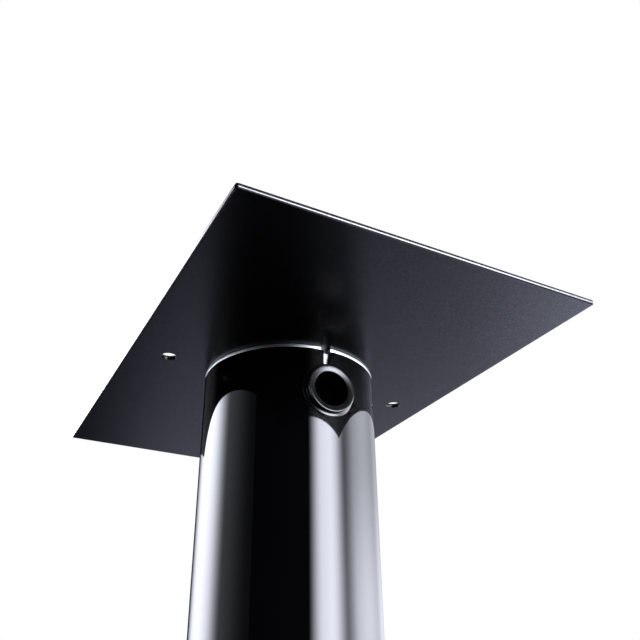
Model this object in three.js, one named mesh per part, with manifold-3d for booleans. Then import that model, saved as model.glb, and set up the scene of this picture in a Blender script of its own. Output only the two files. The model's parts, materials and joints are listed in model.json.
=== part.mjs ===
// A pedestal stand: a round lacquered column between a thin top plate and a heavier base plate.
//
// A turned plug closes each end of the column. Its flange shows as a bright ring between the tube and
// the plate, and its spigot fills the mouth of the tube. One tie rod draws the two plugs together and
// clamps the tube between them. A keyhole, a slot that opens into a round hole, lets a cable into the
// column under the top plate, and a second hole lets it out near the base. Four levelling feet screw
// through the base plate.
//
// Millimetres, +Z up. The origin is on the floor, under the centre of the stand. The cable outlets
// face -Y.
import * as THREE from 'three';
import { mergeVertices } from 'three/addons/utils/BufferGeometryUtils.js';
import Module from 'manifold-3d';

const wasm = await Module();
wasm.setup();

// Driving dimensions.
const STAND_HEIGHT = 600;
const FIT_GAP = 0.3;

const TUBE_RADIUS = 50;
const TUBE_WALL = 4;
const TUBE_FACETS = 72;

const TOP_PLATE = { width: 194, depth: 302, thickness: 3, corner: 1.5, edge: 0.6 };
const FIXING_HOLE = { radius: 3.75, offset: 75 };

const BASE_PLATE = { width: 250, depth: 340, thickness: 8, corner: 6, edge: 1.2 };
const BASE_CLEARANCE = 16;

const PLUG = { flange: 2, spigot: 9, notch: 7.4 };
const PLUG_SCREW_CIRCLE = 30;

const OUTLET = { radius: 12.5, topDrop: 25.7, bottomHeight: 64, slot: 5.8 };
const GROMMET = { bore: 9.9, lipRadius: 1.6, flange: 14.2, skin: 1, standOff: 2 };

const TOP_SCREW = { radius: 2.5, head: 5, length: 13, socket: 1.7, socketDepth: 1.6 };
const BASE_SCREW = { radius: 3, head: 6, length: 17, socket: 2.1, socketDepth: 2.4 };

const TIE_ROD = { radius: 5, endHeight: 5 };
const TIE_WASHER = { radius: 11, thickness: 2 };
const TIE_NUT = { acrossFlats: 17, height: 8 };

const FOOT = { inset: 22, threadRadius: 4, studTop: 31.5 };
const FOOT_HOLE_RADIUS = 4.15;
const FOOT_SHOULDER = { radius: 6.5, bottom: 8.5, top: 11 };
const FOOT_PAD = { radius: 18, top: 8, lip: 2, slope: 3, edge: 1, cup: 5.6, cupFloor: 3.5, neck: 3.2 };
const FOOT_SOLE = { radius: 16.5, thickness: 1.5 };
const FOOT_HEX = { radius: 2.3, depth: 4 };
const LOCK_NUT = { radius: 9, height: 5, grooves: 18, grooveDepth: 0.6 };

// Heights worked out from the driving dimensions.
const PLATE_UNDERSIDE = STAND_HEIGHT - TOP_PLATE.thickness;
const TUBE_TOP = PLATE_UNDERSIDE - PLUG.flange;
const BASE_TOP = BASE_CLEARANCE + BASE_PLATE.thickness;
const TUBE_BOTTOM = BASE_TOP + PLUG.flange;
const TUBE_INSIDE = TUBE_RADIUS - TUBE_WALL;
const SPIGOT_RADIUS = TUBE_INSIDE - FIT_GAP;
const OUTLET_HEIGHTS = {
  upper: PLATE_UNDERSIDE - OUTLET.topDrop,
  lower: OUTLET.bottomHeight,
};

// Facet counts for the small round pieces.
const ROUND_FACETS = 24;
const SMALL_FACETS = 16;
const LIP_FACETS = 40;
const HEX_FACETS = 6;
const LIP_SECTION_FACETS = 8;
const PAST = 10; // how far a cutter reaches past the face it cuts

const FINISH = {
  gloss: new THREE.MeshStandardMaterial({ color: 0x060607, roughness: 0.04, metalness: 0 }),
  satin: new THREE.MeshStandardMaterial({ color: 0x17171a, roughness: 0.42, metalness: 0 }),
  aluminium: new THREE.MeshStandardMaterial({ color: 0xd8d9dc, roughness: 0.25, metalness: 1 }),
  rubber: new THREE.MeshStandardMaterial({ color: 0x0b0b0c, roughness: 0.35, metalness: 0 }),
  zinc: new THREE.MeshStandardMaterial({ color: 0xaeb0b4, roughness: 0.35, metalness: 1 }),
  blackSteel: new THREE.MeshStandardMaterial({ color: 0x1b1b1d, roughness: 0.4, metalness: 0.6 }),
  felt: new THREE.MeshStandardMaterial({ color: 0x222224, roughness: 0.95, metalness: 0 }),
};

// ---------------------------------------------------------------------------------------------
// From geometry to solid and back.

/** A closed geometry as a solid that can be joined and cut. */
function toSolid(geometry) {
  geometry.deleteAttribute('normal');
  geometry.deleteAttribute('uv');
  const merged = mergeVertices(geometry);
  const corners = merged.index.array;
  const kept = [];
  for (let i = 0; i < corners.length; i += 3) {
    const [a, b, c] = [corners[i], corners[i + 1], corners[i + 2]];
    // A triangle that closes on itself at a pole has no area.
    if (a !== b && b !== c && c !== a) kept.push(a, b, c);
  }
  return new wasm.Manifold(new wasm.Mesh({
    numProp: 3,
    vertProperties: new Float32Array(merged.attributes.position.array),
    triVerts: new Uint32Array(kept),
  }));
}

/** A solid as a geometry for a mesh. */
function toGeometry(solid) {
  const mesh = solid.getMesh();
  const geometry = new THREE.BufferGeometry();
  geometry.setAttribute('position', new THREE.BufferAttribute(mesh.vertProperties, mesh.numProp));
  geometry.setIndex(new THREE.BufferAttribute(mesh.triVerts, 1));
  geometry.computeVertexNormals();
  return geometry;
}

/** The first solid with all the others cut away. */
function cut(solid, cutters) {
  return cutters.reduce((left, cutter) => left.subtract(cutter), solid);
}

/** All the solids joined into one. */
function join(solids) {
  return solids.reduce((whole, solid) => whole.add(solid));
}

// ---------------------------------------------------------------------------------------------
// Blanks that the pieces are made from.

/** A body turned about Z from an outline of [radius, height] pairs, anticlockwise. */
function turned(outline, facets) {
  const points = outline.map(([radius, height]) => new THREE.Vector2(radius, height));
  return toSolid(new THREE.LatheGeometry(points, facets).rotateX(Math.PI / 2));
}

/** A ring turned about Z, between two radii and two heights. */
function ring(inner, outer, low, high, facets) {
  return turned([[inner, low], [outer, low], [outer, high], [inner, high], [inner, low]], facets);
}

/** An upright cylinder between two heights. */
function post(radius, low, high, facets) {
  const geometry = new THREE.CylinderGeometry(radius, radius, high - low, facets);
  return toSolid(geometry.rotateX(Math.PI / 2).translate(0, 0, (low + high) / 2));
}

/** An upright hexagon, its flats facing X, between two heights. */
function hexagon(cornerRadius, low, high) {
  return post(cornerRadius, low, high, HEX_FACETS);
}

/** A cylinder lying along Y at a height, from the outside of the column to its inside. */
function outletCylinder(radius, height, facets) {
  const reach = TUBE_WALL + 2 * PAST;
  const geometry = new THREE.CylinderGeometry(radius, radius, reach, facets);
  return toSolid(geometry.translate(0, reach / 2 - PAST - TUBE_RADIUS, height));
}

/** A block between two corners. */
function block(low, high) {
  const size = high.map((value, axis) => value - low[axis]);
  const middle = high.map((value, axis) => (value + low[axis]) / 2);
  return toSolid(new THREE.BoxGeometry(...size).translate(...middle));
}

/** A flat plate with round corners and softened edges, its underside at a height. */
function plate({ width, depth, thickness, corner, edge }, underside) {
  // The bevel grows the outline, so the outline starts smaller by the size of the edge.
  const x = width / 2 - edge;
  const y = depth / 2 - edge;
  const r = corner;
  const outline = new THREE.Shape();
  outline.moveTo(x - r, -y);
  outline.absarc(x - r, r - y, r, -Math.PI / 2, 0, false);
  outline.absarc(x - r, y - r, r, 0, Math.PI / 2, false);
  outline.absarc(r - x, y - r, r, Math.PI / 2, Math.PI, false);
  outline.absarc(r - x, r - y, r, Math.PI, Math.PI * 1.5, false);
  const geometry = new THREE.ExtrudeGeometry(outline, {
    depth: thickness - 2 * edge,
    bevelEnabled: true,
    bevelThickness: edge,
    bevelSize: edge,
    bevelSegments: 2,
    curveSegments: 4,
  });
  return toSolid(geometry.translate(0, 0, underside + edge));
}

/** The four places on a circle, at 45 degrees, where a plug's screws stand. */
function screwPlaces() {
  const reach = PLUG_SCREW_CIRCLE * Math.SQRT1_2;
  return [[reach, reach], [-reach, reach], [-reach, -reach], [reach, -reach]];
}

/** The four places where the feet stand, one near each corner of the base plate. */
function footPlaces() {
  const x = BASE_PLATE.width / 2 - FOOT.inset;
  const y = BASE_PLATE.depth / 2 - FOOT.inset;
  return [[x, y], [-x, y], [-x, -y], [x, -y]];
}

// ---------------------------------------------------------------------------------------------
// Screws. Each is turned head up, its head's face at height 0.

/** A countersunk screw with a hexagon socket. */
function countersunkScrew({ radius, head, length, socket, socketDepth }) {
  const coneFoot = radius - head;
  const outline = [[0, -length], [radius, -length], [radius, coneFoot], [head, 0], [0, 0]];
  const body = turned(outline, SMALL_FACETS);
  return body.subtract(hexagon(socket, -socketDepth, PAST));
}

/** The cutter for a countersunk hole, its mouth at height 0 and open upward. */
function countersink({ radius, head, length }) {
  const mouth = head + FIT_GAP;
  const bore = radius + FIT_GAP;
  const depth = length + PAST;
  const outline = [
    [0, -depth], [bore, -depth], [bore, bore - mouth], [mouth, 0], [mouth + PAST, PAST], [0, PAST],
  ];
  return turned(outline, SMALL_FACETS);
}

// ---------------------------------------------------------------------------------------------
// The pieces.

/** The thin plate on which the load stands, with a hole on each side of the column for its bolts. */
function topPlate() {
  const holes = [-1, 1].map((side) => {
    const { radius, offset } = FIXING_HOLE;
    const hole = post(radius, PLATE_UNDERSIDE - PAST, STAND_HEIGHT + PAST, ROUND_FACETS);
    return hole.translate([side * offset, 0, 0]);
  });
  const sinks = screwPlaces().map(([x, y]) => countersink(TOP_SCREW).translate([x, y, STAND_HEIGHT]));
  return cut(plate(TOP_PLATE, PLATE_UNDERSIDE), [...holes, ...sinks]);
}

/** The heavy plate at the foot of the stand. */
function basePlate() {
  const rodHole = post(TIE_ROD.radius + FIT_GAP, -PAST, BASE_TOP + PAST, SMALL_FACETS);
  const sinks = screwPlaces().map(([x, y]) => (
    countersink(BASE_SCREW).rotate([180, 0, 0]).translate([x, y, BASE_CLEARANCE])
  ));
  const studHoles = footPlaces().map(([x, y]) => (
    post(FOOT_HOLE_RADIUS, -PAST, BASE_TOP + PAST, SMALL_FACETS).translate([x, y, 0])
  ));
  return cut(plate(BASE_PLATE, BASE_CLEARANCE), [rodHole, ...sinks, ...studHoles]);
}

/** A plug made flange down: the flange rests on height 0 and the spigot stands on it. */
function plug(screwRadius) {
  const top = PLUG.flange + PLUG.spigot;
  const outline = [
    [0, 0], [TUBE_RADIUS, 0], [TUBE_RADIUS, PLUG.flange],
    [SPIGOT_RADIUS, PLUG.flange], [SPIGOT_RADIUS, top], [0, top],
  ];
  const rodHole = post(TIE_ROD.radius + FIT_GAP, -PAST, top + PAST, SMALL_FACETS);
  const screwHoles = screwPlaces().map(([x, y]) => (
    post(screwRadius + FIT_GAP, -PAST, top + PAST, SMALL_FACETS).translate([x, y, 0])
  ));
  return cut(turned(outline, TUBE_FACETS), [rodHole, ...screwHoles]);
}

/** The upper plug hangs under the top plate. Its flange is notched where the keyhole slot meets it. */
function topPlug() {
  const half = PLUG.notch / 2;
  const notch = block(
    [-half, -TUBE_RADIUS - PAST, TUBE_TOP - FIT_GAP],
    [half, -SPIGOT_RADIUS, PLATE_UNDERSIDE + PAST],
  );
  return plug(TOP_SCREW.radius).rotate([180, 0, 0]).translate([0, 0, PLATE_UNDERSIDE]).subtract(notch);
}

/** The lower plug stands on the base plate. */
function bottomPlug() {
  return plug(BASE_SCREW.radius).translate([0, 0, BASE_TOP]);
}

/** The column: a tube with the keyhole at its upper end and a round hole near its foot. */
function columnTube() {
  const half = OUTLET.slot / 2;
  const slot = block(
    [-half, -TUBE_RADIUS - PAST, OUTLET_HEIGHTS.upper],
    [half, -TUBE_INSIDE + PAST, TUBE_TOP + PAST],
  );
  const holes = Object.values(OUTLET_HEIGHTS).map((height) => (
    outletCylinder(OUTLET.radius, height, LIP_FACETS)
  ));
  const blank = ring(TUBE_INSIDE, TUBE_RADIUS, TUBE_BOTTOM, TUBE_TOP, TUBE_FACETS);
  return cut(blank, [slot, ...holes]);
}

/** A rubber grommet: a round lip, a throat through the wall, and a saddle on each side of it. */
function grommet(height) {
  const throatRadius = OUTLET.radius - FIT_GAP;
  const lipCentre = TUBE_RADIUS + GROMMET.standOff;
  const innerFace = TUBE_INSIDE - FIT_GAP - GROMMET.skin;
  const throat = new THREE.CylinderGeometry(throatRadius, throatRadius, lipCentre - innerFace, LIP_FACETS);
  throat.translate(0, -(lipCentre + innerFace) / 2, height);
  const { bore: boreRadius, lipRadius } = GROMMET;
  const lip = new THREE.TorusGeometry(boreRadius + lipRadius, lipRadius, LIP_SECTION_FACETS, LIP_FACETS);
  lip.rotateX(Math.PI / 2).translate(0, -lipCentre, height);
  const low = height - GROMMET.flange - PAST;
  const high = height + GROMMET.flange + PAST;
  const skinStart = TUBE_RADIUS + FIT_GAP;
  const outerSkin = ring(skinStart, skinStart + GROMMET.skin, low, high, TUBE_FACETS);
  const innerSkin = ring(innerFace, innerFace + GROMMET.skin, low, high, TUBE_FACETS);
  const trim = outletCylinder(GROMMET.flange, height, LIP_FACETS);
  const saddles = join([outerSkin, innerSkin]).intersect(trim);
  const bore = outletCylinder(boreRadius, height, LIP_FACETS);
  return join([toSolid(throat), toSolid(lip), saddles]).subtract(bore);
}

/** The rod that draws the plugs together, from under the base plate into the upper plug. */
function tieRod() {
  return post(TIE_ROD.radius, TIE_ROD.endHeight, TUBE_TOP, SMALL_FACETS);
}

/** The washer under the base plate. */
function tieWasher() {
  const { radius, thickness } = TIE_WASHER;
  const low = BASE_CLEARANCE - thickness;
  return ring(TIE_ROD.radius + FIT_GAP, radius, low, BASE_CLEARANCE, ROUND_FACETS);
}

/** The nut under the washer. */
function tieNut() {
  const high = BASE_CLEARANCE - TIE_WASHER.thickness;
  const low = high - TIE_NUT.height;
  const bore = post(TIE_ROD.radius + FIT_GAP, low - PAST, high + PAST, SMALL_FACETS);
  return hexagon(TIE_NUT.acrossFlats / Math.sqrt(3), low, high).subtract(bore);
}

/** A levelling stud: a foot that turns in the pad's cup, a shoulder, the thread and a hexagon socket. */
function footStud() {
  const { cup, cupFloor, neck, top, lip } = FOOT_PAD;
  const outline = [
    [0, cupFloor + FIT_GAP], [cup - FIT_GAP, cupFloor + FIT_GAP], [cup - FIT_GAP, top - lip],
    [neck, top - lip], [neck, FOOT_SHOULDER.bottom], [FOOT_SHOULDER.radius, FOOT_SHOULDER.bottom],
    [FOOT_SHOULDER.radius, FOOT_SHOULDER.top], [FOOT.threadRadius, FOOT_SHOULDER.top],
    [FOOT.threadRadius, FOOT.studTop], [0, FOOT.studTop],
  ];
  const socket = hexagon(FOOT_HEX.radius, FOOT.studTop - FOOT_HEX.depth, FOOT.studTop + PAST);
  return turned(outline, SMALL_FACETS).subtract(socket);
}

/** A round pad with a cup that holds the stud's foot, drawn closed over it. */
function footPad() {
  const { radius, top, lip, slope, edge, cup, cupFloor, neck } = FOOT_PAD;
  const low = FOOT_SOLE.thickness;
  const outline = [
    [0, low], [radius - edge, low], [radius, low + edge], [radius, top - slope],
    [radius - slope, top - edge], [cup + slope, top], [neck + FIT_GAP, top],
    [neck + FIT_GAP, top - lip + FIT_GAP], [cup, top - lip + FIT_GAP], [cup, cupFloor], [0, cupFloor],
  ];
  return turned(outline, ROUND_FACETS);
}

/** The soft disc under a pad. */
function footSole() {
  return post(FOOT_SOLE.radius, 0, FOOT_SOLE.thickness, ROUND_FACETS);
}

/** A round lock nut on top of the base plate, grooved round its rim for the fingers. */
function lockNut() {
  const { radius, height, grooves, grooveDepth } = LOCK_NUT;
  const outline = new THREE.Shape();
  const steps = grooves * 4;
  for (let i = 0; i < steps; i += 1) {
    const angle = (i / steps) * 2 * Math.PI;
    const reach = radius - (i % 4 < 2 ? 0 : grooveDepth);
    const point = [reach * Math.cos(angle), reach * Math.sin(angle)];
    if (i === 0) outline.moveTo(...point);
    else outline.lineTo(...point);
  }
  outline.closePath();
  const blank = new THREE.ExtrudeGeometry(outline, { depth: height, bevelEnabled: false });
  const bore = post(FOOT_HOLE_RADIUS, -PAST, height + PAST, SMALL_FACETS);
  return toSolid(blank).subtract(bore).translate([0, 0, BASE_TOP]);
}

// ---------------------------------------------------------------------------------------------
// The assembly.

const stand = new THREE.Group();

/** Puts one named piece on the stand. */
function add(name, solid, finish) {
  const mesh = new THREE.Mesh(toGeometry(solid), finish);
  mesh.name = name;
  stand.add(mesh);
}

add('top_plate', topPlate(), FINISH.satin);
add('top_plug', topPlug(), FINISH.aluminium);
add('column_tube', columnTube(), FINISH.gloss);
add('bottom_plug', bottomPlug(), FINISH.aluminium);
add('base_plate', basePlate(), FINISH.satin);

for (const [place, height] of Object.entries(OUTLET_HEIGHTS)) {
  add(`${place}_cable_grommet`, grommet(height), FINISH.rubber);
}

add('tie_rod', tieRod(), FINISH.zinc);
add('tie_rod_washer', tieWasher(), FINISH.zinc);
add('tie_rod_nut', tieNut(), FINISH.zinc);

screwPlaces().forEach(([x, y], index) => {
  const top = countersunkScrew(TOP_SCREW).translate([x, y, STAND_HEIGHT]);
  const base = countersunkScrew(BASE_SCREW).rotate([180, 0, 0]).translate([x, y, BASE_CLEARANCE]);
  add(`top_plate_screw_${index + 1}`, top, FINISH.blackSteel);
  add(`base_plate_screw_${index + 1}`, base, FINISH.blackSteel);
});

footPlaces().forEach(([x, y], index) => {
  const number = index + 1;
  add(`foot_stud_${number}`, footStud().translate([x, y, 0]), FINISH.zinc);
  add(`foot_pad_${number}`, footPad().translate([x, y, 0]), FINISH.blackSteel);
  add(`foot_sole_${number}`, footSole().translate([x, y, 0]), FINISH.felt);
  add(`foot_lock_nut_${number}`, lockNut().translate([x, y, 0]), FINISH.blackSteel);
});

export default stand;
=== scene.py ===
# %% [markdown]
# # A pedestal stand with a lacquered column
#
# A thin steel plate sits on a round, high gloss column, and a heavier plate holds the column on the
# floor. The design, a CAD frame, is already packed: it says where every piece is and which body it
# moves with. This file gives each piece its finished surface and its material. Units are metres.

# %% Load the frame
import json
import math

import bmesh
import bpy
import numpy as np
from mathutils import Matrix, Vector


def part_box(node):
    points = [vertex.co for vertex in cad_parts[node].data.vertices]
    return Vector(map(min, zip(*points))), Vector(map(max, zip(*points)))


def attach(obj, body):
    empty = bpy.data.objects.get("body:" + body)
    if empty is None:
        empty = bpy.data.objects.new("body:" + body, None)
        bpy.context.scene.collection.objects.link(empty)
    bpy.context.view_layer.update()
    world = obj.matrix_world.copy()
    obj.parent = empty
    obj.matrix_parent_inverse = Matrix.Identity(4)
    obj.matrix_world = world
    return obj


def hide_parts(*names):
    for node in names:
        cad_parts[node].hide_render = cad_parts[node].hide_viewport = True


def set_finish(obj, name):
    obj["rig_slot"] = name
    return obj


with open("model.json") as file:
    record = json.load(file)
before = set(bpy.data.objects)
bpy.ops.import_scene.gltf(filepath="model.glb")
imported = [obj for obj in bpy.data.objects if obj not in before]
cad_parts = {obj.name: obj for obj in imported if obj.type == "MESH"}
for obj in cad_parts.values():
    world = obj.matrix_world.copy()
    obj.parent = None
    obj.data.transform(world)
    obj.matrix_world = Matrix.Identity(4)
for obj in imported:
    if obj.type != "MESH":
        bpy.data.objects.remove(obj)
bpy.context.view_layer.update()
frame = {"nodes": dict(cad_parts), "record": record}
MM = 0.001

# %% [markdown]
# ## Sizes that come from the frame
#
# A CAD node's box gives the place of a piece. Reading the sizes from there, and not typing them again,
# keeps the finished surfaces on the frame when the design changes.

# %% Sizes of the main pieces
PLATE_LOW, PLATE_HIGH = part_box("top_plate")
BASE_LOW, BASE_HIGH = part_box("base_plate")
TUBE_LOW, TUBE_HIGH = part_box("column_tube")
UNDERSIDE = PLATE_LOW.z
TUBE_RADIUS = (TUBE_HIGH.x - TUBE_LOW.x) / 2
TUBE_WALL = 4 * MM
TUBE_INSIDE = TUBE_RADIUS - TUBE_WALL
print(f"column {2000 * TUBE_RADIUS:.1f} mm across, plate {1000 * (PLATE_HIGH - PLATE_LOW).y:.1f} mm deep")

# %% [markdown]
# ## The camera
#
# The camera stands low and to the left, close under the plate, and looks up at it. So near, the plate's
# edges run strongly together. A small upward shift of the lens keeps the column from leaning more.

# %% Place the camera
CAMERA_FROM_PLATE = Vector((-175.5, -363.3, -191.8)) * MM
HEADING, PITCH, ROLL = (math.radians(a) for a in (28.5, 28.78, 0.69))
FOCAL_LENGTH, SENSOR, LENS_SHIFT = 41.48, 36.0, 0.03


def camera_matrix(place, heading, pitch, roll):
    """Looks along a heading, counted from +Y towards +X, raised by the pitch, and rolled clockwise."""
    level = math.cos(pitch)
    ahead = Vector((math.sin(heading) * level, math.cos(heading) * level, math.sin(pitch)))
    right = ahead.cross(Vector((0, 0, 1))).normalized()
    down = ahead.cross(right)
    tilted_right = right * math.cos(roll) + down * math.sin(roll)
    tilted_down = down * math.cos(roll) - right * math.sin(roll)
    turn = Matrix((tilted_right, -tilted_down, -ahead)).transposed().to_4x4()
    return Matrix.Translation(place) @ turn


camera_data = bpy.data.cameras.new("low_camera")
camera_data.lens, camera_data.sensor_width, camera_data.shift_y = FOCAL_LENGTH, SENSOR, LENS_SHIFT
camera_data.clip_start = 0.01
camera = bpy.data.objects.new("low_camera", camera_data)
camera.matrix_world = camera_matrix(
    CAMERA_FROM_PLATE + Vector((0, 0, UNDERSIDE)), HEADING, PITCH, ROLL
)
bpy.context.scene.collection.objects.link(camera)
bpy.context.scene.camera = camera
print("camera at", [round(c, 3) for c in camera.matrix_world.translation])

# %% [markdown]
# ## Surfaces from arrays
#
# Every finished piece is a surface worked out with numpy: points on a grid, with faces between
# neighbours. A turned piece is a profile carried round the Z axis. Its profile is a short list of
# corners, and each corner says how far it is rounded, because no real edge is sharp: the rounding is
# what catches the light.

# %% Rounded profiles
FILLET_STEPS = 5


def rounded(corners, steps=FILLET_STEPS):
    """A polyline with round corners, and how worn each point is.

    A corner is [across, height, fillet]. The fillet is an arc that touches both sides of the corner: its
    centre lies on the bisector, fillet / sin(half the angle) from the corner. Points on an arc get wear 1.
    """
    corners = np.asarray(corners, float)
    points, wear = [], []
    for i, (x, z, fillet) in enumerate(corners):
        here = np.array((x, z))
        if fillet == 0 or i in (0, len(corners) - 1):
            points.append(here[None])
            wear.append(np.zeros(1))
            continue
        back = corners[i - 1, :2] - here
        ahead = corners[i + 1, :2] - here
        back, ahead = back / np.linalg.norm(back), ahead / np.linalg.norm(ahead)
        half = math.acos(np.clip(back @ ahead, -1, 1)) / 2
        bisector = (back + ahead) / np.linalg.norm(back + ahead)
        centre = here + bisector * fillet / math.sin(half)
        reach = fillet / math.tan(half)
        first, last = here + back * reach - centre, here + ahead * reach - centre
        sweep = math.pi - 2 * half
        t = np.linspace(0, 1, steps + 1)[:, None]
        arc = (np.sin((1 - t) * sweep) * first + np.sin(t * sweep) * last) / math.sin(sweep)
        points.append(centre + arc)
        wear.append(np.ones(steps + 1))
    return np.concatenate(points), np.concatenate(wear)


# %% Grids of faces
def grid_faces(rows, columns, closed_rows=False, closed_columns=True):
    """Quads between neighbouring points of a grid whose points are numbered row by row."""
    down = np.arange(rows if closed_rows else rows - 1)[:, None]
    across = np.arange(columns if closed_columns else columns - 1)[None]
    below, beside = (down + 1) % rows, (across + 1) % columns
    loop = ((down, across), (down, beside), (below, beside), (below, across))
    corner = [row * columns + column for row, column in loop]
    return np.stack(np.broadcast_arrays(*corner), -1).reshape(-1, 4)


def round_angles(sides):
    """Angles round a full circle, the first one repeated nowhere."""
    return np.arange(sides) * 2 * math.pi / sides


def revolve(radius, height, angle):
    """Points on a surface turned about Z. Arrays broadcast: rows go along the profile, columns round it."""
    radius, height, angle = np.broadcast_arrays(radius, height, angle)
    return np.stack((radius * np.cos(angle), radius * np.sin(angle), height), -1)


# %% From arrays to a piece
MERGE = 1e-6
SHARP_ANGLE = math.radians(38)
WEAR = "wear"


def new_piece(name, patches, place=(0, 0, 0)):
    """One object from patches of (points, faces, wear). Touching patches share their edges."""
    points = np.concatenate([p.reshape(-1, 3) for p, _, _ in patches]) + np.asarray(place)
    starts = np.cumsum([0] + [p.reshape(-1, 3).shape[0] for p, _, _ in patches])
    faces = [(np.asarray(f) + s).tolist() for (_, f, _), s in zip(patches, starts)]
    wear = np.concatenate([np.broadcast_to(w, p.shape[:-1]).ravel() for p, _, w in patches])
    mesh = bpy.data.meshes.new(name)
    mesh.from_pydata(points.tolist(), [], [face for group in faces for face in group])
    mesh.attributes.new(WEAR, "FLOAT", "POINT").data.foreach_set("value", wear.astype(np.float32))
    piece = bpy.data.objects.new(name, mesh)
    bpy.context.scene.collection.objects.link(piece)
    tidy(mesh)
    return piece


def tidy(mesh):
    """Merges doubled points, drops faces without area, turns faces outward and shades them smooth."""
    soft = bmesh.new()
    soft.from_mesh(mesh)
    bmesh.ops.remove_doubles(soft, verts=soft.verts, dist=MERGE)
    bmesh.ops.dissolve_degenerate(soft, edges=soft.edges, dist=MERGE)
    bmesh.ops.recalc_face_normals(soft, faces=soft.faces)
    open_edges = sum(1 for edge in soft.edges if not edge.is_manifold)
    soft.to_mesh(mesh)
    soft.free()
    mesh.shade_smooth()
    mesh.set_sharp_from_angle(angle=SHARP_ANGLE)
    if open_edges:
        print(f"  {mesh.name}: {open_edges} open edges")


def settle(piece, body, slot, *nodes):
    """Ties a finished piece to its body, its material slot and the CAD nodes that it stands for."""
    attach(piece, body)
    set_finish(piece, slot)
    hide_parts(*nodes)
    print(f"{piece.name}: {len(piece.data.polygons)} faces")


# %% [markdown]
# ## Turned pieces
#
# Plugs, washers, pads, screws and nuts all start as a turned profile. A hexagon or a knurl is the same
# surface with a radius that also changes with the angle.

# %% Radii that change round the axis
def hexagon(across_flats, angle):
    """Radius of a hexagon at an angle: half the flats over the cosine of the angle to the nearest flat."""
    sixth = math.pi / 3
    return across_flats / 2 / np.cos((angle + sixth / 2) % sixth - sixth / 2)


def grooved(radius, depth, count, angle):
    """Radius of a rim with round grooves: the depth times the cube of a raised cosine."""
    return radius - depth * (0.5 - 0.5 * np.cos(count * angle)) ** 3


def threaded(radius, depth, pitch, height, angle):
    """Radius of a screw thread: a ridge that climbs one pitch in each turn, flat at crest and root."""
    phase = (height / pitch - angle / (2 * math.pi)) % 1
    ridge = np.clip(2.6 * np.abs(phase - 0.5) - 0.15, 0, 1)
    return radius - depth * ridge


def turned_patch(corners, sides, shape=None, steps=FILLET_STEPS):
    """A patch from a profile of corners. shape, if given, turns (radius, height, angle) into a radius."""
    profile, wear = rounded(corners, steps)
    angle = round_angles(sides)[None]
    radius, height = profile[:, :1], profile[:, 1:]
    if shape is not None:
        radius = shape(radius, height, angle)
    points = revolve(radius, height, angle)
    return points, grid_faces(*points.shape[:2]), wear[:, None]


# %% [markdown]
# ## The plates
#
# Both plates are flat sheets with a rounded outline and a rounded edge. The edge is a short profile
# carried round the outline, and each hole is a turned profile. The flat faces fill what is left. A
# narrow flat band runs just inside every edge, so that the smooth shading of the round edge never
# spreads into the flat face.

# %% Outline of a plate
CORNER_STEPS = 8
BAND = 0.4 * MM


def plate_outline(half_x, half_y, corner, inset):
    """Points round a rectangle with round corners, moved inward: the arcs keep their centres."""
    quarter = np.linspace(0, math.pi / 2, CORNER_STEPS + 1)
    turn = (np.arange(4) * math.pi / 2)[:, None] + quarter[None]
    side_x = np.array((1, -1, -1, 1))[:, None] * (half_x - max(corner, inset))
    side_y = np.array((1, 1, -1, -1))[:, None] * (half_y - max(corner, inset))
    reach = max(corner - inset, 0)
    return np.stack((side_x + reach * np.cos(turn), side_y + reach * np.sin(turn)), -1).reshape(-1, 2)


# %% A plate with holes
HOLE_SIDES = 48


def edge_profile(low, high, low_round, high_round):
    """(inset, height) pairs round a plate's edge, from its lower flat face to its upper one."""
    corners = [
        (low_round + BAND, low, 0), (0, low, low_round), (0, high, high_round), (high_round + BAND, high, 0)
    ]
    return rounded(corners, FILLET_STEPS + 1)


def hole_patch(x, y, corners):
    """A hole's wall as a turned surface with a flat band at both ends."""
    profile, wear = rounded(corners, 2)
    points = revolve(profile[:, :1], profile[:, 1:], round_angles(HOLE_SIDES)[None])
    return points + np.array((x, y, 0)), grid_faces(*points.shape[:2]), wear[:, None]


def fill_flat(mesh, height):
    """Fills the flat face between the loops of open edges that lie at one height."""
    soft = bmesh.new()
    soft.from_mesh(mesh)
    bmesh.ops.remove_doubles(soft, verts=soft.verts, dist=MERGE)
    rim = [e for e in soft.edges if e.is_boundary and all(abs(v.co.z - height) < MERGE for v in e.verts)]
    bmesh.ops.triangle_fill(soft, edges=rim, use_beauty=True)
    soft.to_mesh(mesh)
    soft.free()


def plate_piece(name, low, high, corner, rounds, holes):
    """A plate between two corners of a box, with a list of (x, y, profile corners) for its holes."""
    profile, wear = edge_profile(low.z, high.z, *rounds)
    loops = np.stack([plate_outline(high.x, high.y, corner, inset) for inset in profile[:, 0]])
    heights = np.broadcast_to(profile[:, 1, None, None], loops.shape[:2] + (1,))
    rim = np.concatenate((loops, heights), -1)
    patches = [(rim, grid_faces(*rim.shape[:2]), wear[:, None])]
    patches += [hole_patch(*hole) for hole in holes]
    piece = new_piece(name, patches)
    for height in (low.z, high.z):
        fill_flat(piece.data, height)
    tidy(piece.data)
    return piece


# %% Hole profiles
def through_hole(radius, low_break, high_break, low, high, taper=0.0):
    """A hole with a chamfer at each face, narrower by the taper at the upper chamfer."""
    under, over = radius + low_break, radius - taper + high_break
    return [
        (under + BAND, low, 0), (under, low, 0), (radius, low + low_break, 0),
        (radius - taper, high - high_break, 0), (over, high, 0), (over + BAND, high, 0),
    ]


def sunk_hole(bore, mouth, closed_face, open_face):
    """A countersunk hole: a bore from the closed face, and a cone at 45 degrees to the open one."""
    toward = math.copysign(1, open_face - closed_face)
    return [
        (bore + BAND, closed_face, 0), (bore, closed_face, 0),
        (bore, open_face - toward * (mouth - bore), 0), (mouth, open_face, 0), (mouth + BAND, open_face, 0),
    ]


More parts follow.
